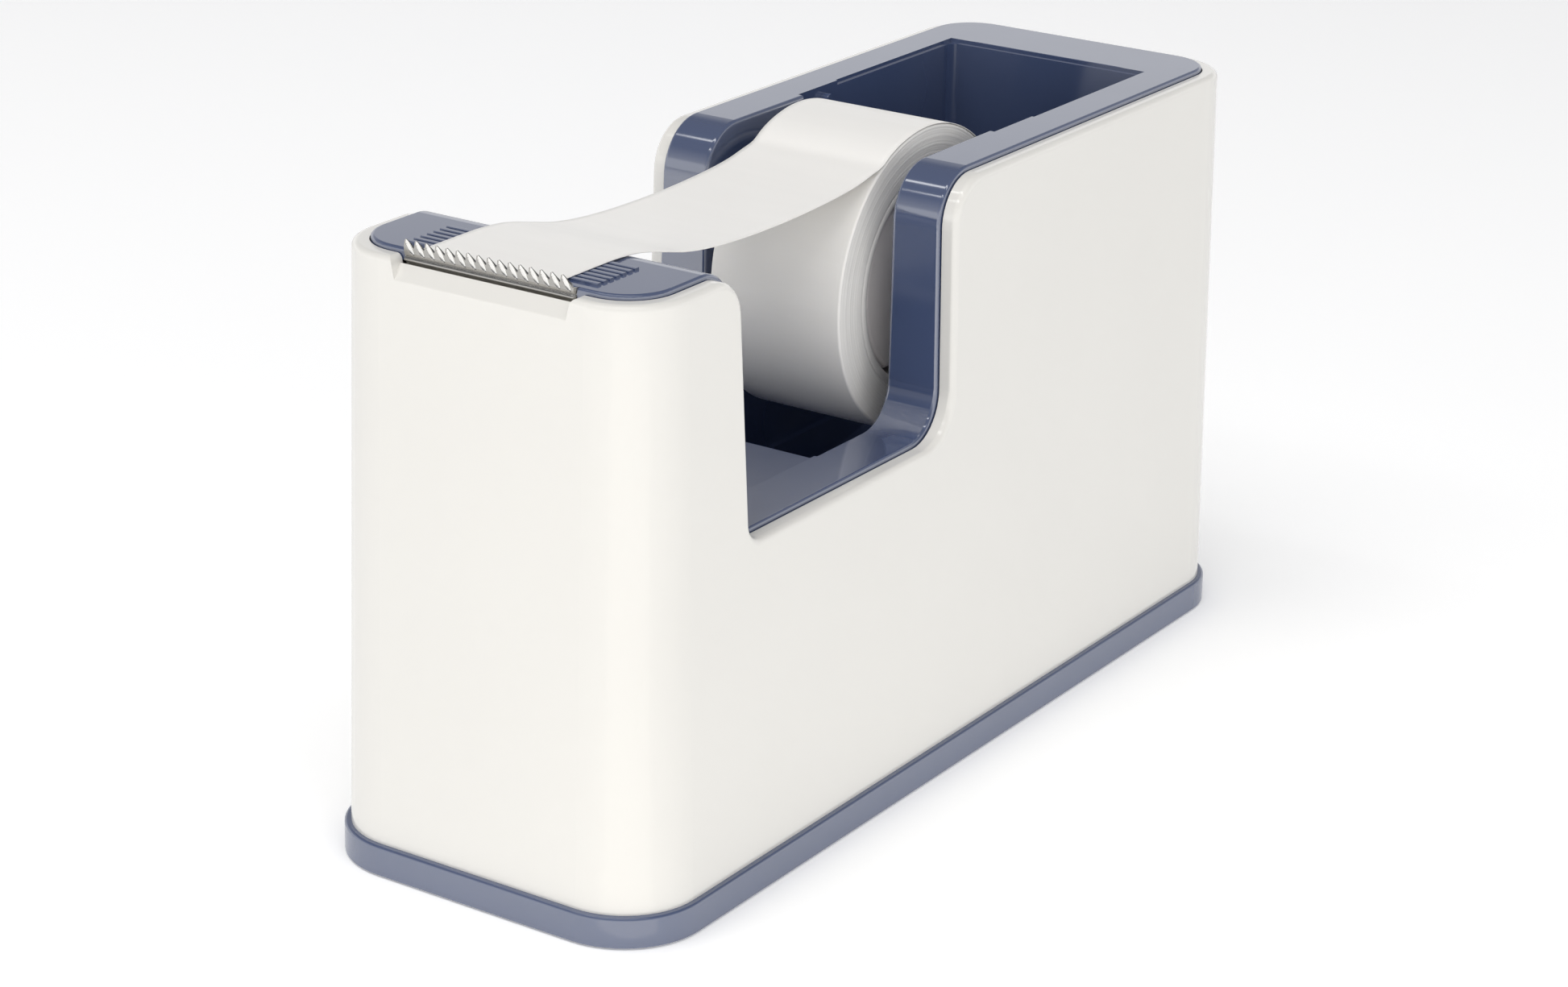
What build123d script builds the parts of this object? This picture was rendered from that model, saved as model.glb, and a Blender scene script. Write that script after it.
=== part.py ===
from build123d import *
import math
import os

# Desk tape dispenser. X is the width, Y the length with the cutting end at -Y, Z is up.
# The origin is on the table under the middle of the housing. All sizes are in millimetres.

# overall housing
WIDTH = 49.0
LENGTH = 140.0
RIM_Z = 76.0
DRAFT = 1.5 / 71.4

# base and pad
BASE_R = 10.4
BASE_Z0 = 0.3
BASE_Z1 = 4.0
PAD_T = 1.0
PAD_INSET = 3.0

# outer shell
SHELL_INSET = 0.8
SHELL_R = 9.6
SHELL_T = 2.0
SHELL_Z1 = 75.4
SHELL_EDGE_R = 0.8

# hand notch through the sides, measured on the shell
NOTCH_Z = 43.5
NOTCH_FRONT_Y = -47.8
NOTCH_FRONT_TOP_Y = -49.5
NOTCH_REAR_Y = -4.5
NOTCH_R_TOWER = 4.5
NOTCH_R_FRONT = 2.5
NOTCH_R_REAR = 6.0

# inner tray
TRAY_GAP = 0.15
TRAY_PROUD = 0.6
TRAY_T = 2.0
PLATFORM_T = 1.35
TRAY_EDGE_R = 0.4
WELL_HALF = 13.6
WELL_HALF_REAR = 14.6
WELL_OUT_HALF = 16.4
WELL_REAR_Y = 54.5
WELL_ARC_Y = 20.5
WELL_ARC_Z = 80.3
WELL_ARC_R = 55.0
WELL_CORNER_R = 3.0
WELL_REAR_CORNER_R = 1.2
WELL_EDGE_R = 0.5
LEDGE = 0.3
LEDGE_DEPTH = 0.6
PANEL_DROP = 0.8
RIDGE_COUNT = 7
RIDGE_PITCH = 1.155
RIDGE_FIRST_Y = -63.8
RIDGE_H = 0.26
RIDGE_T = 0.72
RIDGE_HALF = 13.1

# reel and its sloping slots
AXLE_Y = 9.5
AXLE_Z = 57.9
AXLE_R = 2.7
AXLE_HALF = 14.5
SLOT_R = 2.75
RIB_T = 1.6
RIB_RUN = 20.8
SLOT_TILT = 30.0
HUB_R = 12.4
HUB_FLAT = 10.2
HUB_HALF = 8.8
HUB_WALL = 1.6
CORE_R0 = 12.7
CORE_R1 = 14.3
TAPE_R = 19.4
TAPE_HALF = 9.5

# blade
BLADE_HALF = 11.75
BLADE_T = 0.45
BLADE_Y = -66.05
BLADE_TIP_Z = 77.3
BLADE_FOOT_Z = 74.15
RECESS_HALF = 12.4
RECESS_LEAN = 0.6
RECESS_IN_Z = 74.45
RECESS_OUT_Z = 72.9
RECESS_IN_Y = -66.1
RECESS_LIP_R = 0.35
TOOTH_COUNT = 16

# ballast and screws
PLATE_COUNT = 3
PLATE_T = 3.2
PLATE_GAP = 0.05
CORNER_SCREW = (15.0, 60.5)
TRAY_SCREW = (11.0, -37.0)
PEG = (12.0, 36.0)
SCREW_R = 1.25
SCREW_HEAD_R = 2.6

SLOT_DIR = (math.sin(math.radians(SLOT_TILT)), math.cos(math.radians(SLOT_TILT)))


def rounded_face(points):
    """Closed face from (u, v, corner radius) points."""
    count = len(points)
    corners = []
    for i in range(count):
        u, v, r = points[i]
        p = Vector(u, v, 0)
        a = (Vector(points[i - 1][0], points[i - 1][1], 0) - p).normalized()
        b = (Vector(points[(i + 1) % count][0], points[(i + 1) % count][1], 0) - p).normalized()
        if r == 0:
            corners.append((p, None, p))
            continue
        half = math.acos(max(-1.0, min(1.0, a.dot(b)))) / 2
        run = r / math.tan(half)
        bisector = (a + b).normalized()
        middle = p + bisector * (r / math.sin(half) - r)
        corners.append((p + a * run, middle, p + b * run))
    edges = []
    for i in range(count):
        start, middle, end = corners[i]
        previous_end = corners[i - 1][2]
        if (start - previous_end).length > 1e-6:
            edges.append(Edge.make_line(previous_end, start))
        if middle is not None:
            edges.append(Edge.make_three_point_arc(start, middle, end))
    return Face(Wire(edges))


def across(face, x0, x1):
    """Extrude a face drawn in (Y, Z) from x0 to x1."""
    plane = Plane(origin=(x0, 0, 0), x_dir=(0, 1, 0), z_dir=(1, 0, 0))
    return extrude(plane * face, amount=x1 - x0, dir=(1, 0, 0))


def both_sides(face, x0, x1):
    """The same extrusion on the left and the right of the middle plane."""
    return across(face, x0, x1) + across(face, -x1, -x0)


def stadium(y0, z0, y1, z1, r):
    """Slot outline between two centres in the (Y, Z) plane."""
    along = Vector(y1 - y0, z1 - z0, 0).normalized()
    side = Vector(-along.Y, along.X, 0) * r
    a = Vector(y0, z0, 0)
    b = Vector(y1, z1, 0)
    edges = [
        Edge.make_line(a + side, b + side),
        Edge.make_three_point_arc(b + side, b + along * r, b - side),
        Edge.make_line(b - side, a - side),
        Edge.make_three_point_arc(a - side, a - along * r, a + side),
    ]
    return Face(Wire(edges))


def drafted_block(inset, z0, z1):
    """Solid following the shell's outside, moved inwards by inset, with its draft."""
    slices = []
    for z in (z0, z1):
        shrink = SHELL_INSET + inset + DRAFT * (z - BASE_Z1)
        outline = RectangleRounded(WIDTH - 2 * shrink, LENGTH - 2 * shrink, SHELL_R - inset - DRAFT * (z - BASE_Z1))
        slices.append(Pos(0, 0, z) * outline)
    return loft(slices, ruled=True)


def side_outline(grow, top_z, low_z):
    """Side view of the housing with the hand notch; grow makes the solid part larger."""
    return rounded_face([
        (-LENGTH, low_z, 0),
        (-LENGTH, top_z, 0),
        (NOTCH_FRONT_TOP_Y + grow, top_z, NOTCH_R_TOWER + grow),
        (NOTCH_FRONT_Y + grow, NOTCH_Z + grow, NOTCH_R_FRONT - grow),
        (NOTCH_REAR_Y - grow, NOTCH_Z + grow, NOTCH_R_REAR - grow),
        (NOTCH_REAR_Y - grow, top_z, NOTCH_R_REAR + grow),
        (LENGTH, top_z, 0),
        (LENGTH, low_z, 0),
    ])


def corner_spots(spot):
    return [(sx * spot[0], sy * spot[1]) for sx in (-1, 1) for sy in (-1, 1)]


def pair_spots(spot):
    return [(sx * spot[0], spot[1]) for sx in (-1, 1)]


def upright(x, y, z0, z1, r):
    return Pos(x, y, (z0 + z1) / 2) * Cylinder(r, z1 - z0)


def block(x0, x1, y0, y1, z0, z1):
    return Pos((x0 + x1) / 2, (y0 + y1) / 2, (z0 + z1) / 2) * Box(x1 - x0, y1 - y0, z1 - z0)


def rim_edges(body, top_z):
    """Outer edges of the rim and of both sides of the hand notch, one smooth closed loop."""
    chosen = []
    for edge in body.edges():
        c = edge.center()
        on_top = c.Z > top_z - 0.01 and (abs(c.X) > 1 or abs(c.Y) > 60)
        on_notch = abs(c.X) > 15 and abs(c.Y + 25) < 27 and c.Z > NOTCH_Z - 0.1
        if on_top or on_notch:
            chosen.append(edge)
    return chosen


def outer_shell():
    body = drafted_block(0, BASE_Z1, SHELL_Z1 + 1) & across(side_outline(0, SHELL_Z1, 0), -WIDTH, WIDTH)
    body = fillet(rim_edges(body, SHELL_Z1), SHELL_EDGE_R)
    body -= drafted_block(SHELL_T, BASE_Z1 - 1, SHELL_Z1 + 1)
    for x, y in corner_spots(CORNER_SCREW):
        side = 1 if y > 0 else -1
        post = upright(x, y, 8.2, 34, 3.0)
        web = block(x - 1.0, x + 1.0, min(y, side * 67.8), max(y, side * 67.8), 8.2, 34)
        body += post + web
        body -= upright(x, y, 8.0, 22, SCREW_R + 0.02)
    return body - blade_recess()


def blade_recess():
    """Cut in the top of the front wall: a sloping lip in front of the blade, with flared ends."""
    wall_y = SHELL_INSET + DRAFT * (RECESS_OUT_Z - BASE_Z1) - LENGTH / 2
    low_z = RECESS_OUT_Z - 1.0
    side = rounded_face([
        (-72.0, low_z, 0),
        (wall_y - DRAFT, low_z, 0),
        (wall_y, RECESS_OUT_Z, RECESS_LIP_R),
        (RECESS_IN_Y, RECESS_IN_Z, 0),
        (RECESS_IN_Y, BLADE_FOOT_Z - 0.05, 0),
        (-60.0, BLADE_FOOT_Z - 0.05, 0),
        (-60.0, 85.0, 0),
        (-72.0, 85.0, 0),
    ])
    front = rounded_face([
        (-RECESS_HALF + RECESS_LEAN, 60.0, 0),
        (RECESS_HALF - RECESS_LEAN, 60.0, 0),
        (RECESS_HALF - RECESS_LEAN, RECESS_OUT_Z, 0),
        (RECESS_HALF, SHELL_Z1 + 0.02, 0.82),
        (20.0, SHELL_Z1 + 0.02, 0),
        (20.0, 90.0, 0),
        (-20.0, 90.0, 0),
        (-20.0, SHELL_Z1 + 0.02, 0),
        (-RECESS_HALF, SHELL_Z1 + 0.02, 0.82),
        (-RECESS_HALF + RECESS_LEAN, RECESS_OUT_Z, 0),
    ])
    plane = Plane(origin=(0, -80, 0), x_dir=(1, 0, 0), z_dir=(0, -1, 0))
    return across(side, -20, 20) & extrude(plane * front, amount=30, dir=(0, 1, 0))


def well_solid(extra, half, corner):
    """Space of the reel well, curved along its bottom; extra moves its faces outwards."""
    arc = Pos(WELL_ARC_Y, WELL_ARC_Z) * Circle(WELL_ARC_R + extra)
    side = arc & (Pos(WELL_ARC_Y, WELL_ARC_Z - 50) * Rectangle(200, 100))
    front_y = WELL_ARC_Y - WELL_ARC_R - extra
    span = WELL_REAR_Y + extra - front_y
    plan = Pos(0, front_y + span / 2, 10) * RectangleRounded(2 * half, span, corner)
    return across(side, -half, half) & extrude(plan, amount=80)


def tray_underside():
    """Side view of the room under the tray's skin."""
    front_top = NOTCH_FRONT_TOP_Y + TRAY_PROUD - TRAY_T
    front_low = NOTCH_FRONT_Y + TRAY_PROUD - TRAY_T
    rear = NOTCH_REAR_Y - TRAY_PROUD + TRAY_T
    floor = NOTCH_Z + TRAY_PROUD - TRAY_T
    return rounded_face([
        (-LENGTH, 5, 0),
        (-LENGTH, RIM_Z - PLATFORM_T, 0),
        (front_top, RIM_Z - PLATFORM_T, NOTCH_R_TOWER - 1.4),
        (front_low, floor, 3.9),
        (rear, floor, 7.4),
        (rear, RIM_Z - TRAY_T, 4.6),
        (LENGTH, RIM_Z - TRAY_T, 0),
        (LENGTH, 5, 0),
    ])


def slot_point(along, off):
    """Point in (Y, Z) at a distance up the slot's centre line and a distance behind it."""
    return AXLE_Y + SLOT_DIR[0] * along + SLOT_DIR[1] * off, AXLE_Z + SLOT_DIR[1] * along - SLOT_DIR[0] * off


def axle_seats(solid):
    """Sets the walls behind the slots back and adds the rib that closes each slot from behind."""
    wide = across(rounded_face([
        (*slot_point(-34, -SLOT_R), 0),
        (WELL_REAR_Y, slot_point(-34, -SLOT_R)[1], 0),
        (WELL_REAR_Y, 90, 0),
        (*slot_point(36, -SLOT_R), 0),
    ]), -WELL_HALF_REAR, WELL_HALF_REAR)
    solid -= wide & well_solid(0, WELL_HALF_REAR, WELL_REAR_CORNER_R)
    cup = stadium(*slot_point(0, 0), *slot_point(9, 0), SLOT_R + RIB_T)
    bar_off = SLOT_R + RIB_T / 2
    bar = stadium(*slot_point(0, bar_off), *slot_point(RIB_RUN, bar_off), RIB_T / 2)
    solid += both_sides(cup, WELL_HALF, WELL_HALF_REAR + 0.4) + both_sides(bar, WELL_HALF, WELL_HALF_REAR + 0.4)
    return solid - both_sides(stadium(*slot_point(0, 0), *slot_point(36, 0), SLOT_R), 12.0, WELL_HALF_REAR)


def well_edges(body):
    """Edges of the well's mouth: along the rim and down the front of the tower."""
    chosen = []
    for edge in body.edges():
        c = edge.center()
        on_rim = c.Z > RIM_Z - 0.01 and -6 < c.Y < WELL_REAR_Y + 0.1 and abs(c.X) < WELL_HALF + 0.02
        on_tower = abs(abs(c.X) - WELL_HALF) < 0.02 and -6 < c.Y < NOTCH_REAR_Y + 3 and 50 < c.Z < RIM_Z
        if on_rim or on_tower:
            chosen.append(edge)
    return chosen


def inner_tray():
    fit_block = drafted_block(SHELL_T + TRAY_GAP, 12.0, RIM_Z + 1)
    envelope = fit_block & across(side_outline(TRAY_PROUD, RIM_Z, 12.0), -30, 30)
    envelope = fillet(rim_edges(envelope, RIM_Z), TRAY_EDGE_R)
    skin = envelope - across(tray_underside(), -30, 30)
    well = well_solid(TRAY_T, WELL_OUT_HALF, WELL_CORNER_R + 2)
    solid = skin + (well & envelope)
    solid -= well_solid(0, WELL_HALF, WELL_CORNER_R)
    solid = fillet(well_edges(solid), WELL_EDGE_R)
    solid = axle_seats(solid)
    ledge = WELL_HALF_REAR + LEDGE
    solid -= block(-ledge, ledge, 26.0, WELL_REAR_Y + LEDGE, RIM_Z - LEDGE_DEPTH, 80)
    floor = NOTCH_Z + TRAY_PROUD
    solid -= across(rounded_face([
        (NOTCH_FRONT_Y + 2.6, floor, 0),
        (WELL_ARC_Y - 36, floor - PANEL_DROP, 0),
        (WELL_ARC_Y - 36, floor + 3, 0),
        (NOTCH_FRONT_Y + 2.6, floor + 3, 0),
    ]), -WELL_HALF, WELL_HALF)
    for i in range(RIDGE_COUNT):
        y = RIDGE_FIRST_Y + i * RIDGE_PITCH
        ridge = rounded_face([
            (y, RIM_Z - 0.3, 0),
            (y, RIM_Z + RIDGE_H, 0.1),
            (y + RIDGE_T, RIM_Z + RIDGE_H, 0.1),
            (y + RIDGE_T, RIM_Z - 0.3, 0),
        ])
        solid += across(ridge, -RIDGE_HALF, RIDGE_HALF)
    for x, y in pair_spots(TRAY_SCREW):
        solid += upright(x, y, 14.2, NOTCH_Z - 0.8, 3.2)
        solid -= upright(x, y, 14.0, 30.0, SCREW_R + 0.02)
    for x in (-8, 8):
        solid += upright(x, -62.5, 73.0, RIM_Z - 1, 1.0)
    return solid


def base_plate():
    body = Pos(0, 0, BASE_Z0) * extrude(RectangleRounded(WIDTH, LENGTH, BASE_R), amount=BASE_Z1 - BASE_Z0)
    body = fillet(body.edges().group_by(Axis.Z)[-1], 0.4)
    lip = drafted_block(SHELL_T + TRAY_GAP, BASE_Z1 - 1, 7.6)
    lip -= drafted_block(SHELL_T + 1.6, BASE_Z1 - 2, 8.6)
    body += lip
    pocket = RectangleRounded(WIDTH - 2 * PAD_INSET + 0.1, LENGTH - 2 * PAD_INSET + 0.1, BASE_R - PAD_INSET)
    body -= extrude(pocket, amount=PAD_T + 0.02)
    for x, y in corner_spots(CORNER_SCREW):
        body += upright(x, y, BASE_Z1 - 0.5, 8.1, 3.0)
        body -= screw_room(x, y, 9.0)
    for x, y in pair_spots(TRAY_SCREW):
        body -= screw_room(x, y, 9.0)
    for x, y in pair_spots(PEG):
        body += upright(x, y, BASE_Z1 - 0.5, 15.0, 2.4)
    return body


def screw_room(x, y, top):
    """Clearance hole with a countersink opening downwards."""
    hole = upright(x, y, -1, top, SCREW_R + 0.2)
    sink = Pos(x, y, 1.75) * Cone(SCREW_HEAD_R + 0.2, SCREW_R + 0.2, 1.5)
    return hole + sink


def screw(x, y, length):
    """Countersunk screw pointing up, with a cross recess in its head."""
    head = Pos(x, y, 1.8) * Cone(SCREW_HEAD_R, SCREW_R, 1.4)
    shank = upright(x, y, 2.4, length - 1.5, SCREW_R)
    point = Pos(x, y, length - 0.75) * Cone(SCREW_R, 0.3, 1.5)
    body = head + shank + point
    for w, d in ((2.6, 0.6), (0.6, 2.6)):
        body -= Pos(x, y, 1.0) * Box(w, d, 1.4)
    return body


def non_slip_pad():
    pad = RectangleRounded(WIDTH - 2 * PAD_INSET, LENGTH - 2 * PAD_INSET, BASE_R - PAD_INSET)
    return extrude(pad, amount=PAD_T)


def ballast_plates():
    plates = []
    for i in range(PLATE_COUNT):
        z = BASE_Z1 + PLATE_GAP + i * (PLATE_T + PLATE_GAP)
        plate = Pos(0, 0, z) * extrude(RectangleRounded(36, 104, 3), amount=PLATE_T)
        for x, y in pair_spots(PEG):
            plate -= upright(x, y, z - 1, z + PLATE_T + 1, 2.5)
        for x, y in pair_spots(TRAY_SCREW):
            plate -= upright(x, y, z - 1, z + PLATE_T + 1, 1.6)
        plates.append(plate.solid())
    return Compound(children=plates)


def cutter_blade():
    """Bent steel strip: toothed front edge, foot running back under the platform."""
    pitch = 2 * BLADE_HALF / TOOTH_COUNT
    outline = [(-BLADE_HALF, BLADE_FOOT_Z)]
    for i in range(TOOTH_COUNT):
        left = -BLADE_HALF + i * pitch
        outline.append((left, BLADE_TIP_Z - 1.3))
        outline.append((left + pitch * 0.45, BLADE_TIP_Z))
    outline.append((BLADE_HALF, BLADE_TIP_Z - 1.3))
    outline.append((BLADE_HALF, BLADE_FOOT_Z))
    face = make_face(Polyline(*[(x, z) for x, z in outline], close=True))
    plane = Plane(origin=(0, BLADE_Y, 0), x_dir=(1, 0, 0), z_dir=(0, -1, 0))
    front = extrude(plane * face, amount=-BLADE_T)
    foot = block(-BLADE_HALF, BLADE_HALF, BLADE_Y, -60.5, BLADE_FOOT_Z, BLADE_FOOT_Z + BLADE_T)
    body = front + foot
    for x in (-8, 8):
        body -= upright(x, -62.5, 72, 75, 1.05)
    return body


def barrel(x0, x1, r):
    """Cylinder about the reel axis."""
    return Pos((x0 + x1) / 2, AXLE_Y, AXLE_Z) * Rot(0, 90, 0) * Cylinder(r, x1 - x0)


def hub_form(x0, x1, inset):
    """Drum about the reel axis with flats above and below."""
    flat = HUB_FLAT - inset
    limits = block(x0, x1, AXLE_Y - 20, AXLE_Y + 20, AXLE_Z - flat, AXLE_Z + flat)
    return barrel(x0, x1, HUB_R - inset) & limits


def hub_drum():
    body = hub_form(-HUB_HALF, HUB_HALF, 0)
    ends = body.edges().group_by(Axis.X)
    body = fillet(ends[0] + ends[-1], 0.7)
    body -= hub_form(-HUB_HALF - 1, HUB_HALF - 1.8, HUB_WALL)
    body += barrel(-HUB_HALF + 1.6, HUB_HALF - 1.0, AXLE_R + 1.6)
    for i in range(4):
        rib_h = CORE_R0 - 0.05 - HUB_R + 0.8
        rib = Pos(0, 0, HUB_R - 0.8 + rib_h / 2) * Box(2 * HUB_HALF - 2.4, 1.6, rib_h)
        body += Pos(0, AXLE_Y, AXLE_Z) * Rot(45 + 90 * i, 0, 0) * rib
    return body - barrel(-20, 20, AXLE_R + 0.02)


def hub_cap():
    body = hub_form(-HUB_HALF, -HUB_HALF + 1.5, HUB_WALL + 0.05)
    body = chamfer(body.edges().group_by(Axis.X)[0], 0.3)
    return body - barrel(-20, 20, AXLE_R + 0.02)


def axle_pin():
    body = barrel(-AXLE_HALF, AXLE_HALF, AXLE_R)
    return chamfer(body.edges(), 0.5)


def tape_core():
    return barrel(-TAPE_HALF, TAPE_HALF, CORE_R1) - barrel(-20, 20, CORE_R0)


def tape_winding():
    return barrel(-TAPE_HALF, TAPE_HALF, TAPE_R) - barrel(-20, 20, CORE_R1 + 0.02)


def tape_strip():
    """Free end of the tape: flat over the platform, sagging over the notch, up onto the roll."""
    middle = [(-65.4, 76.44), (-62.5, 76.44), (-59.5, 76.44), (-56.5, 76.42), (-54.0, 76.32), (-51.8, 76.04),
              (-49.0, 75.47), (-45.5, 74.55), (-41.5, 73.6), (-36.0, 72.85), (-29.0, 72.45), (-21.0, 72.5),
              (-13.0, 72.8), (-7.0, 73.2), (-3.0, 74.0)]
    wrap_r = TAPE_R + 0.42
    for degrees in (118, 113, 108, 103):
        angle = math.radians(degrees)
        middle.append((AXLE_Y + wrap_r * math.cos(angle), AXLE_Z + wrap_r * math.sin(angle)))
    thick = 0.24
    upper = []
    lower = []
    for i in range(len(middle)):
        before = middle[max(i - 1, 0)]
        after = middle[min(i + 1, len(middle) - 1)]
        run = math.hypot(after[0] - before[0], after[1] - before[1])
        normal = (-(after[1] - before[1]) / run, (after[0] - before[0]) / run)
        upper.append(Vector(middle[i][0] + normal[0] * thick / 2, middle[i][1] + normal[1] * thick / 2, 0))
        lower.append(Vector(middle[i][0] - normal[0] * thick / 2, middle[i][1] - normal[1] * thick / 2, 0))
    top = Edge.make_spline(upper)
    bottom = Edge.make_spline(lower)
    ends = [Edge.make_line(upper[0], lower[0]), Edge.make_line(upper[-1], lower[-1])]
    return across(Face(Wire([top, ends[1], bottom, ends[0]])), -TAPE_HALF, TAPE_HALF)


def main():
    os.makedirs("parts", exist_ok=True)
    export_step(outer_shell(), "parts/outer_shell.step")
    export_step(inner_tray(), "parts/inner_tray.step")
    export_step(base_plate(), "parts/base_plate.step")
    export_step(non_slip_pad(), "parts/non_slip_pad.step")
    export_step(ballast_plates(), "parts/ballast_plates.step")
    corner = [screw(x, y, 20.0).solid() for x, y in corner_spots(CORNER_SCREW)]
    export_step(Compound(children=corner), "parts/base_screws.step")
    long_ones = [screw(x, y, 28.0).solid() for x, y in pair_spots(TRAY_SCREW)]
    export_step(Compound(children=long_ones), "parts/tray_screws.step")
    export_step(cutter_blade(), "parts/cutter_blade.step")
    export_step(tape_strip(), "parts/tape_strip.step")
    export_step(hub_drum(), "parts/hub_drum.step")
    export_step(hub_cap(), "parts/hub_cap.step")
    export_step(axle_pin(), "parts/axle_pin.step")
    export_step(tape_core(), "parts/tape_core.step")
    export_step(tape_winding(), "parts/tape_winding.step")


main()
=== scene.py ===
import bpy, math, random
from mathutils import Matrix, Vector


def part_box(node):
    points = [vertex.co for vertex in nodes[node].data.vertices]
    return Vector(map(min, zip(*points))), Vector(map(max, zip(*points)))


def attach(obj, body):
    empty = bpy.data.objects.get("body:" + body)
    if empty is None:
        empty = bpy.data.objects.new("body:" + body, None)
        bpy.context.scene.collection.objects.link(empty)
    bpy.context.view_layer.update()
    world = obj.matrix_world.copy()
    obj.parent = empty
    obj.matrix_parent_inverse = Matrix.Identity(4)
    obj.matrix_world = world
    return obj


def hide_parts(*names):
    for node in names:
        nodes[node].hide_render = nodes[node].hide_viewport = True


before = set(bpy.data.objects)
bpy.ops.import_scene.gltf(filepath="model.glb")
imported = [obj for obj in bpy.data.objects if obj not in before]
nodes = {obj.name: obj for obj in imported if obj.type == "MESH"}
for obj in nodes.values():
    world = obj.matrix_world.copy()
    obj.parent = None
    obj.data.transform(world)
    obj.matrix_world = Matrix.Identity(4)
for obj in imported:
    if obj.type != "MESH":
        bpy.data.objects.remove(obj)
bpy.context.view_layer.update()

# The tape dispenser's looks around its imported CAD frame. Lengths in this script are metres.
# +X is the dispenser's right side, -Y its cutting end, +Z up, with the table at Z = 0.

scene = bpy.context.scene
MM = 0.001


# ---------------------------------------------------------------- material helpers
class Graph:
    """A material's nodes, added and joined by socket name."""

    def __init__(self, name):
        self.mat = bpy.data.materials.new(name)
        self.mat.use_nodes = True
        self.tree = self.mat.node_tree
        self.bsdf = self.tree.nodes["Principled BSDF"]

    def node(self, kind, **sockets):
        made = self.tree.nodes.new(kind)
        for name, value in sockets.items():
            made.inputs[name].default_value = value
        return made

    def join(self, source, out, target, socket):
        self.tree.links.new(source.outputs[out], target.inputs[socket])

    def coords(self, scale=(1, 1, 1)):
        place = self.node("ShaderNodeTexCoord")
        mapped = self.node("ShaderNodeMapping", Scale=scale)
        self.join(place, "Object", mapped, "Vector")
        return mapped

    def noise(self, where, scale, detail=2.0, rough=0.5):
        made = self.node("ShaderNodeTexNoise", Scale=scale, Detail=detail, Roughness=rough)
        self.join(where, "Vector", made, "Vector")
        return made

    def tint(self, source, out, low, high):
        """Colour that drifts between two tones with the source."""
        ramp = self.node("ShaderNodeValToRGB")
        ends = ramp.color_ramp.elements
        ends[0].position, ends[0].color = 0.3, (*low, 1)
        ends[1].position, ends[1].color = 0.7, (*high, 1)
        self.join(source, out, ramp, "Fac")
        self.join(ramp, "Color", self.bsdf, "Base Color")

    def roughness(self, source, out, low, high):
        spread = self.node("ShaderNodeMapRange")
        spread.inputs["To Min"].default_value = low
        spread.inputs["To Max"].default_value = high
        self.join(source, out, spread, "Value")
        self.join(spread, "Result", self.bsdf, "Roughness")

    def bump(self, source, out, distance, strength):
        made = self.node("ShaderNodeBump", Strength=strength, Distance=distance)
        self.join(source, out, made, "Height")
        self.join(made, "Normal", self.bsdf, "Normal")

    def shine(self, ior, level):
        self.bsdf.inputs["IOR"].default_value = ior
        self.bsdf.inputs["Specular IOR Level"].default_value = level

    def glow_through(self, weight, radius, scale):
        """Light scattered inside the film."""
        self.bsdf.inputs["Subsurface Weight"].default_value = weight
        self.bsdf.inputs["Subsurface Radius"].default_value = radius
        self.bsdf.inputs["Subsurface Scale"].default_value = scale


def around(colour, waver):
    """The darker and the lighter tone on either side of a colour."""
    return [tuple(min(1.0, c * k) for c in colour) for k in (1 - waver, 1 + waver)]


def moulded(name, colour, rough, waver, ior=1.5, level=0.5, ripple=0.35):
    """Moulded plastic: faint drift of tone, uneven polish and a barely rippled surface."""
    g = Graph(name)
    where = g.coords()
    g.tint(g.noise(where, 38.0, 3.0), "Fac", *around(colour, waver))
    g.roughness(g.noise(where, 160.0, 4.0, 0.6), "Fac", rough * 0.75, rough * 1.25)
    g.bump(g.noise(where, 900.0), "Fac", 0.004 * MM, ripple)
    g.shine(ior, level)
    return g


def rolled_steel(name, colour, rough, waver):
    """Spring steel with rolling marks along the strip."""
    g = Graph(name)
    where = g.coords((60, 900, 2600))
    g.tint(g.noise(where, 1.0, 4.0, 0.7), "Fac", *around(colour, waver))
    g.roughness(g.noise(where, 2.0, 3.0), "Fac", rough * 0.7, rough * 1.3)
    g.bump(g.noise(where, 1.5, 3.0), "Fac", 0.004 * MM, 0.3)
    g.bsdf.inputs["Metallic"].default_value = 1.0
    return g


def tape_film(name, colour, across_scale):
    """Satin film: faint stretch marks along the tape and a soft glow through its thickness."""
    g = Graph(name)
    where = g.coords(across_scale)
    g.tint(g.noise(where, 1.0, 4.0, 0.6), "Fac", *around(colour, 0.008))
    g.roughness(g.noise(g.coords(), 220.0, 3.0), "Fac", 0.3, 0.45)
    g.bump(g.noise(where, 1.0, 3.0), "Fac", 0.006 * MM, 0.25)
    g.glow_through(0.12, (1.0, 0.95, 0.85), 0.8 * MM)
    g.shine(1.48, 0.4)
    return g


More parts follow.
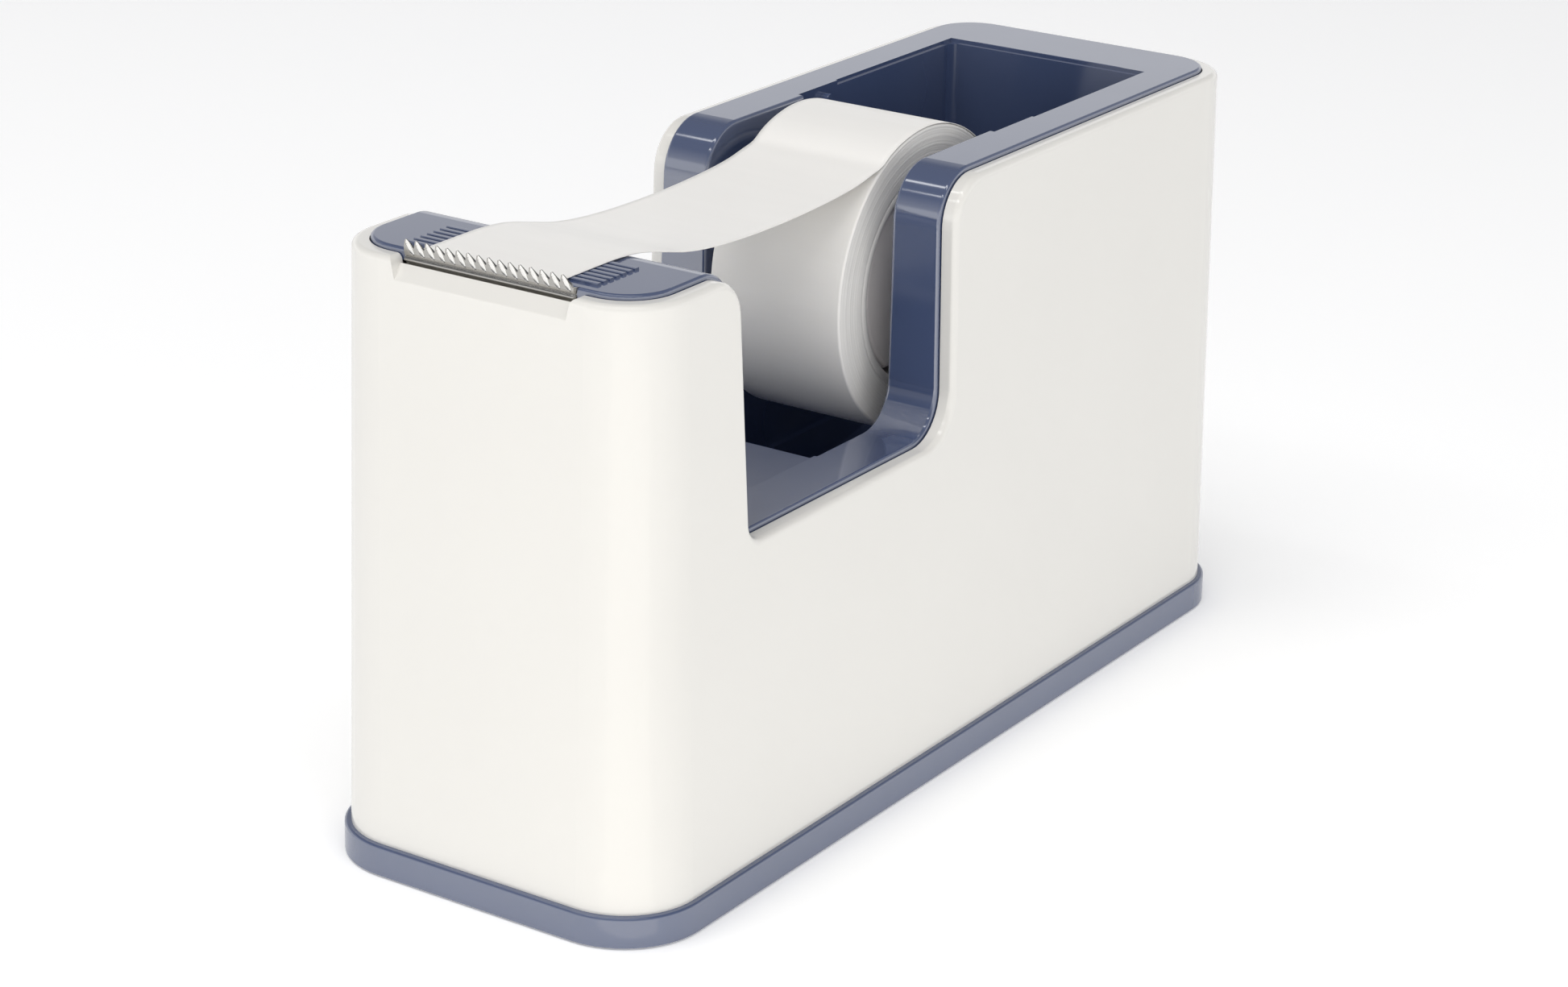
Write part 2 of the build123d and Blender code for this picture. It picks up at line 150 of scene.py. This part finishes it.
def layered_film(name, colour, centre, pitch):
    """Side of the winding: fine rings, one for each group of turns."""
    g = Graph(name)
    place = g.node("ShaderNodeTexCoord")
    shift = g.node("ShaderNodeMapping", Location=tuple(-c for c in centre))
    g.join(place, "Object", shift, "Vector")
    flat = g.node("ShaderNodeVectorMath")
    flat.operation = "MULTIPLY"
    flat.inputs[1].default_value = (0, 1, 1)
    g.join(shift, "Vector", flat, 0)
    radius = g.node("ShaderNodeVectorMath")
    radius.operation = "LENGTH"
    g.join(flat, "Vector", radius, 0)
    rings = g.node("ShaderNodeTexNoise", Scale=1.0 / pitch, Detail=3.0, Roughness=0.7)
    rings.noise_dimensions = "1D"
    g.join(radius, "Value", rings, "W")
    g.tint(rings, "Fac", *around(colour, 0.07))
    g.roughness(g.noise(shift, 300.0, 3.0), "Fac", 0.45, 0.6)
    g.bump(rings, "Fac", 0.03 * MM, 0.5)
    g.glow_through(0.15, (1.0, 0.95, 0.88), 1.0 * MM)
    g.shine(1.48, 0.35)
    return g


def stippled(name, colour, rough, grain):
    """Matt rubber or raw iron with a fine grain."""
    g = Graph(name)
    where = g.coords()
    g.tint(g.noise(where, 120.0, 4.0, 0.7), "Fac", *around(colour, 0.12))
    g.roughness(g.noise(where, 60.0), "Fac", rough * 0.9, min(1.0, rough * 1.1))
    g.bump(g.noise(where, grain, 3.0, 0.7), "Fac", 0.02 * MM, 0.6)
    return g


WHITE = (0.785, 0.77, 0.73)
TRAY_BLUE = (0.056, 0.08, 0.165)
FILM = (0.93, 0.912, 0.875)

white = moulded("gloss_white", WHITE, 0.12, 0.008, ior=1.6, level=0.9, ripple=0.15).mat
tray_blue = moulded("gloss_blue_grey", TRAY_BLUE, 0.1, 0.03, ior=2.0, level=0.9, ripple=0.12).mat
base_blue = moulded("base_blue_grey", TRAY_BLUE, 0.16, 0.03, ior=2.0, level=0.7, ripple=0.15).mat
hub_grey = moulded("hub_warm_grey", (0.86, 0.82, 0.8), 0.38, 0.02).mat
core_white = moulded("core_off_white", (0.8, 0.785, 0.76), 0.4, 0.02).mat
steel = rolled_steel("steel_band", (0.42, 0.41, 0.39), 0.24, 0.06).mat
# Lighter copy of the steel for the tooth hollows: partly their polish from grinding, partly a painted
# highlight where the facets catch the light.
ground_highlight = rolled_steel("steel_ground_highlight", (0.9, 0.89, 0.86), 0.16, 0.03).mat
zinc = rolled_steel("zinc_plate", (0.6, 0.6, 0.6), 0.3, 0.08).mat
rubber = stippled("pad_rubber", (0.025, 0.025, 0.028), 0.85, 2400.0).mat
iron = stippled("ballast_iron", (0.12, 0.12, 0.125), 0.6, 1500.0).mat


def give(piece, material):
    piece.data.materials.clear()
    piece.data.materials.append(material)


for name, material in {
    "outer_shell": white, "inner_tray": tray_blue, "base_plate": base_blue, "non_slip_pad": rubber,
    "ballast_plates": iron, "base_screws": zinc, "tray_screws": zinc, "cutter_blade": steel,
    "tape_strip": white, "tape_winding": white, "tape_core": core_white, "hub_drum": hub_grey,
    "hub_cap": hub_grey, "axle_pin": tray_blue,
}.items():
    give(nodes[name], material)


# ---------------------------------------------------------------- mesh helpers
def new_piece(name, verts, faces, material, body, node, extra=()):
    """Smooth mesh that rides on a body and stands for a CAD node."""
    mesh = bpy.data.meshes.new(name)
    mesh.from_pydata([tuple(v) for v in verts], [], faces)
    mesh.validate()
    for m in (material, *extra):
        mesh.materials.append(m)
    for poly in mesh.polygons:
        poly.use_smooth = True
    piece = bpy.data.objects.new(name, mesh)
    scene.collection.objects.link(piece)
    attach(piece, body)
    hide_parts(node)
    return piece


def grid_faces(rows, columns, start=0, wrap=False, flip=False):
    """Quads of a rows x columns grid of vertices; wrap joins the last column to the first."""
    faces = []
    for r in range(rows - 1):
        for c in range(columns if wrap else columns - 1):
            d = (c + 1) % columns
            quad = (start + r * columns + c, start + r * columns + d,
                    start + (r + 1) * columns + d, start + (r + 1) * columns + c)
            faces.append(quad[::-1] if flip else quad)
    return faces


def sheet_faces(rows, columns):
    """Faces of a thin sheet: front and back grids of vertices, joined round all four edges."""
    size = rows * columns
    faces = grid_faces(rows, columns) + grid_faces(rows, columns, size, flip=True)
    for r in range(rows - 1):
        a, b = r * columns, (r + 1) * columns
        faces.append((a, b, size + b, size + a))
        c, d = a + columns - 1, b + columns - 1
        faces.append((c, size + c, size + d, d))
    for c in range(columns - 1):
        faces.append((c, size + c, size + c + 1, c + 1))
        e = (rows - 1) * columns + c
        faces.append((e, e + 1, size + e + 1, size + e))
    return faces


def centre_of(node):
    low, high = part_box(node)
    return (Vector(low) + Vector(high)) / 2


def turned(name, profile, segments, material, node):
    """Closed ring turned about the reel axis from (x, radius) points going round the section."""
    centre = centre_of(node)
    verts = []
    for x, radius in profile:
        for s in range(segments):
            angle = 2 * math.pi * s / segments
            verts.append((x, centre.y + radius * math.cos(angle), centre.z + radius * math.sin(angle)))
    faces = grid_faces(len(profile), segments, wrap=True)
    last = (len(profile) - 1) * segments
    for s in range(segments):
        t = (s + 1) % segments
        faces.append((last + s, last + t, t, s))
    return new_piece(name, verts, faces, material, "reel", node)


def smooth_line(points, steps):
    """Points along a Catmull-Rom curve through given (y, z) points."""
    line = []
    for i in range(len(points) - 1):
        a = Vector(points[max(i - 1, 0)])
        b = Vector(points[i])
        c = Vector(points[i + 1])
        d = Vector(points[min(i + 2, len(points) - 1)])
        for s in range(steps):
            t = s / steps
            line.append(0.5 * (2 * b + (c - a) * t + (2 * a - 5 * b + 4 * c - d) * t * t
                               + (3 * b - a - 3 * c + d) * t ** 3))
    line.append(Vector(points[-1]))
    return line


# ---------------------------------------------------------------- reel
def ring_profile(inner, outer, half, edge, rings):
    """Section of the winding: uneven turns on both sides and softly rounded outer corners."""
    draw = random.Random(7)
    corner_steps = 6
    side = []
    for i in range(rings + 1):
        radius = inner + (outer - edge - inner) * i / rings
        side.append((half - draw.uniform(0.0, 0.05) * MM, radius))
    corner = []
    for i in range(1, corner_steps + 1):
        angle = math.pi / 2 * i / corner_steps
        corner.append((half - edge + edge * math.cos(angle), outer - edge + edge * math.sin(angle)))
    right = side + corner
    left = [(-x, radius) for x, radius in reversed(right)]
    return right + left


def winding():
    low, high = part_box("tape_winding")
    core_low, core_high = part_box("tape_core")
    outer = (high[2] - low[2]) / 2
    inner = (core_high[2] - core_low[2]) / 2
    half = (high[0] - low[0]) / 2
    centre = centre_of("tape_winding")
    film = layered_film("tape_edges", FILM, centre, 0.16 * MM)
    profile = ring_profile(inner, outer, half, 0.35 * MM, 44)
    piece = turned("roll_of_tape", profile, 160, film.mat, "tape_winding")
    piece.data.materials.append(tape_film("tape_outside", FILM, (30, 400, 400)).mat)
    for poly in piece.data.polygons:
        if abs(poly.normal.x) < 0.5:
            poly.material_index = 1


def core():
    """Plastic core: tube with rounded rims and a shallow step inside each end."""
    low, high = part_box("tape_core")
    outer = (high[2] - low[2]) / 2
    half = (high[0] - low[0]) / 2
    bore = outer - 1.6 * MM
    step = 0.25 * MM
    lip = 0.3 * MM
    right = [(half - 2.2 * MM, bore), (half - 2.0 * MM, bore + step), (half - lip, bore + step),
             (half - 0.1 * MM, bore + step + 0.1 * MM), (half, bore + step + lip),
             (half, outer - lip), (half - lip, outer)]
    left = [(-x, radius) for x, radius in reversed(right)]
    turned("core_tube", right + left, 128, core_white, "tape_core")


winding()
core()


# ---------------------------------------------------------------- free end of the tape
def free_end():
    """Tape from the platform over the notch onto the roll, where it lies flat on the turns."""
    low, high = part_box("tape_strip")
    roll_low, roll_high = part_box("tape_winding")
    centre = centre_of("tape_winding")
    radius = (roll_high[2] - roll_low[2]) / 2
    half = (high[0] - low[0]) / 2
    thick = 0.1 * MM
    first_gap = 0.2 * MM
    sag_y, sag_width, sag_depth = -0.026, 0.016, 0.35 * MM
    columns = 25
    hand_placed = [(-65.4, 76.3), (-62.0, 76.3), (-58.5, 76.3), (-55.5, 76.26), (-52.0, 76.0),
                   (-49.0, 75.47), (-45.5, 74.6), (-41.5, 73.65), (-36.0, 72.9), (-29.0, 72.45),
                   (-21.0, 72.4), (-13.0, 72.75), (-7.0, 73.3), (-3.2, 74.0)]

    def on_roll(degrees, gap):
        """Point at an angle round the roll and a gap above its turns."""
        angle = math.radians(degrees)
        return (centre.y + (radius + gap) * math.cos(angle), centre.z + (radius + gap) * math.sin(angle))

    points = [(y * MM, z * MM) for y, z in hand_placed]
    for degrees in (122, 116, 110):
        points.append(on_roll(degrees, first_gap))
    for degrees in range(104, 40, -6):
        points.append(on_roll(degrees, max(0.03, 0.15 - 0.02 * (104 - degrees) / 6) * MM))
    line = smooth_line(points, 6)
    rows = len(line)
    verts = []
    for face in (0, 1):
        for i, at in enumerate(line):
            before = line[max(i - 1, 0)]
            after = line[min(i + 1, rows - 1)]
            along = (after - before).normalized()
            out = Vector((-along.y, along.x))
            hang = math.exp(-((at.x - sag_y) / sag_width) ** 2)
            for c in range(columns):
                u = -1 + 2 * c / (columns - 1)
                bow = sag_depth * hang * (u * u - 0.4)
                lift = bow + (thick if face == 0 else 0.0)
                verts.append((half * u, at.x + out.x * lift, at.y + out.y * lift))
    film = tape_film("tape_free_film", FILM, (30, 400, 400))
    new_piece("free_tape", verts, sheet_faces(rows, columns), film.mat, "tape_end", "tape_strip")


free_end()


# ---------------------------------------------------------------- blade
def blade():
    """Steel cutter: bent strip whose upper edge has raked teeth, each with a hollow from grinding,
    coloured lighter than the strip: partly the polish from grinding, partly painted highlight.
    """
    low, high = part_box("cutter_blade")
    left, right = low[0], high[0]
    foot_z, tip_z = low[2], high[2]
    teeth = 16
    curl = 0.55 * MM
    pitch = (right - left - curl) / teeth
    per_tooth = 20
    rows = 50
    depth = 0.95 * MM
    thick = 0.32 * MM
    face_y = low[1] + 0.3 * MM
    bead_low = foot_z + 0.5 * MM
    bead_high = foot_z + 1.05 * MM
    root_z = foot_z + 1.55 * MM
    low_rows = 24
    rake = math.atan2(1.1, 2.0)
    hollow_long = 2.15 * MM
    hollow_wide = 0.36 * MM
    hollow_deep = 0.2 * MM
    # Faces this deep into a hollow get the lighter steel, a painted highlight.
    highlight_from = 0.02
    rise = 0.16
    curl_drop = 1.25 * MM
    last_x = left + teeth * pitch

    def top(x):
        """Upper outline: steep on the left of each tip, a long slope on its right."""
        t = ((x - left) / pitch) % 1.0
        if x > last_x:
            return tip_z - curl_drop
        return tip_z - depth * ((rise - t) / rise if t < rise else (t - rise) / (1 - rise))

    def bend(z):
        """How far the face stands forward at a height: a groove at the foot, a bead, then the rake."""
        if z < bead_low:
            return 0.15 * MM
        if z < bead_high:
            return -0.26 * MM * math.sin(math.pi * (z - bead_low) / (bead_high - bead_low)) ** 0.7
        lean = min(1.0, (z - bead_high) / (root_z - bead_high))
        return -0.22 * MM * lean - 0.1 * MM * max(0.0, z - root_z) / MM

    def hollow(x, z):
        """How far inside a ground hollow a point is, from 0 at its edge to 1 along its middle."""
        best = 0.0
        first = int((x - left) / pitch)
        for i in (first - 1, first):
            if i < 0 or i >= teeth:
                continue
            dx = x - (left + (i + 0.2) * pitch)
            dz = tip_z + 0.1 * MM - z
            along = dx * math.sin(rake) + dz * math.cos(rake)
            aside = dx * math.cos(rake) - dz * math.sin(rake)
            if 0 < along < hollow_long:
                wide = hollow_wide * math.sin(math.pi * along / hollow_long) ** 0.6
                inside = 1 - (aside / wide) ** 2 if wide > 0 else 0.0
                best = max(best, inside)
        return best

    xs = [left + pitch * i / per_tooth for i in range(teeth * per_tooth + 1)]
    xs += [last_x + curl * k / 6 for k in range(1, 7)]
    columns = len(xs)
    verts = []
    shine = []
    for side in (0, 1):
        for r in range(rows):
            low_part = min(1.0, r / low_rows)
            high_part = max(0, r - low_rows) / (rows - 1 - low_rows)
            for x in xs:
                z = foot_z + (root_z - foot_z) * low_part + (top(x) - root_z) * high_part
                y = face_y + bend(z)
                inside = hollow(x, z)
                if side == 0:
                    shine.append(inside)
                    y += hollow_deep * max(0.0, inside) ** 0.8
                else:
                    y += thick
                if x > last_x:
                    angle = (x - last_x) / curl * math.pi / 2
                    y += curl * (1 - math.cos(angle))
                    verts.append((last_x + curl * math.sin(angle), y, z))
                else:
                    verts.append((x, y, z))
    faces = sheet_faces(rows, columns)
    # Faces inside the hollows, to be given the lighter steel as a painted highlight.
    bright = set()
    for r in range(rows - 1):
        for c in range(columns - 1):
            corner = r * columns + c
            around_it = (corner, corner + 1, corner + columns, corner + columns + 1)
            if min(shine[i] for i in around_it) > highlight_from:
                bright.add(r * (columns - 1) + c)
    k = len(verts)
    foot_back = high[1]
    y0 = face_y + 0.15 * MM + thick
    for z in (foot_z, foot_z + 0.4 * MM):
        verts += [(left, y0, z), (right - curl, y0, z),
                  (right - curl, foot_back, z), (left, foot_back, z)]
    faces += [(k, k + 3, k + 2, k + 1), (k + 4, k + 5, k + 6, k + 7), (k, k + 1, k + 5, k + 4),
              (k + 1, k + 2, k + 6, k + 5), (k + 2, k + 3, k + 7, k + 6), (k + 3, k, k + 4, k + 7)]
    piece = new_piece("toothed_blade", verts, faces, steel, "housing", "cutter_blade", (ground_highlight,))
    for index in bright:
        piece.data.polygons[index].material_index = 1
    piece.data.set_sharp_from_angle(angle=math.radians(28))


blade()


# ---------------------------------------------------------------- floor, light, camera
def stage_plane(name, corners, z, colour, glow):
    mesh = bpy.data.meshes.new(name)
    mesh.from_pydata([(x, y, z) for x, y in corners], [], [tuple(range(len(corners)))])
    plane = bpy.data.objects.new(name, mesh)
    scene.collection.objects.link(plane)
    g = Graph(name + "_paper")
    g.bsdf.inputs["Base Color"].default_value = (*colour, 1)
    g.bsdf.inputs["Roughness"].default_value = 0.9
    g.bsdf.inputs["Emission Color"].default_value = (*colour, 1)
    g.bsdf.inputs["Emission Strength"].default_value = glow
    give(plane, g.mat)
    return plane


stage_plane("floor", [(-4, -4), (4, -4), (4, 4), (-4, 4)], 0.0, (0.95, 0.95, 0.95), 0.24)
# A pale card on the floor by the front right corner gives that corner its bright band.
card_corners = [(0.0175, -0.0755), (0.065, -0.33), (0.17, -0.3), (0.25, -0.15), (0.027, -0.066)]
stage_plane("card", card_corners, 0.0002, (1.0, 0.985, 0.96), 0.45)


def studio_world():
    """Bright all round the horizon and dimmer overhead, like a white cove under a dark ceiling."""
    world = bpy.data.worlds.new("studio")
    scene.world = world
    world.use_nodes = True
    tree = world.node_tree
    place = tree.nodes.new("ShaderNodeTexCoord")
    split = tree.nodes.new("ShaderNodeSeparateXYZ")
    ramp = tree.nodes.new("ShaderNodeValToRGB")
    ends = ramp.color_ramp.elements
    ends[0].position, ends[0].color = 0.255, (1.08, 1.08, 1.08, 1)
    ends[1].position, ends[1].color = 0.62, (0.2, 0.205, 0.22, 1)
    middle = ends.new(0.31)
    middle.color = (0.62, 0.62, 0.63, 1)
    tree.links.new(place.outputs["Generated"], split.inputs["Vector"])
    tree.links.new(split.outputs["Z"], ramp.inputs["Fac"])
    back = tree.nodes["Background"]
    tree.links.new(ramp.outputs["Color"], back.inputs["Color"])
    back.inputs["Strength"].default_value = 1.0


studio_world()


def softbox(name, at, size, watts, colour=(1, 1, 1), mirrored=True):
    """Soft lamp aimed at the dispenser; one that isn't mirrored makes no highlights."""
    data = bpy.data.lights.new(name, "AREA")
    data.shape = "RECTANGLE"
    data.size, data.size_y = size
    data.energy = watts
    data.color = colour
    lamp = bpy.data.objects.new(name, data)
    scene.collection.objects.link(lamp)
    lamp.location = at
    lamp.rotation_euler = (MIDDLE - Vector(at)).to_track_quat("-Z", "Y").to_euler()
    lamp.visible_glossy = mirrored


MIDDLE = Vector((0.0, 0.0, 0.04))
softbox("fill_front", (0.62, -0.92, 0.42), (0.6, 0.4), 1.0, (1.0, 0.98, 0.94), mirrored=False)
softbox("strip_high", (0.0, -0.3, 1.2), (1.6, 0.09), 1.2)
softbox("strip_low", (0.0, -0.85, 1.2), (1.6, 0.08), 1.0)
softbox("fill_top", (0.0, -0.5, 1.25), (1.4, 1.0), 8.6, (1.0, 0.985, 0.96), mirrored=False)
softbox("fill_side", (0.75, -0.25, 0.95), (0.7, 0.6), 1.6, mirrored=False)

AZIMUTH, ELEVATION, ROLL = math.radians(33.3945), math.radians(20.7226), math.radians(1.1974)
camera = bpy.data.objects.new("camera", bpy.data.cameras.new("camera"))
scene.collection.objects.link(camera)
camera.data.sensor_width = 36.0
camera.data.lens = 86.405
camera.data.clip_start = 0.01
camera.matrix_world = (
    Matrix.Translation((0.24233, -0.37429, 0.19847))
    @ Matrix.Rotation(AZIMUTH, 4, "Z")
    @ Matrix.Rotation(math.pi / 2 - ELEVATION, 4, "X")
    @ Matrix.Rotation(ROLL, 4, "Z")
)
scene.camera = camera
scene.view_settings.view_transform = "Standard"
scene.view_settings.look = "None"

bpy.context.view_layer.update()
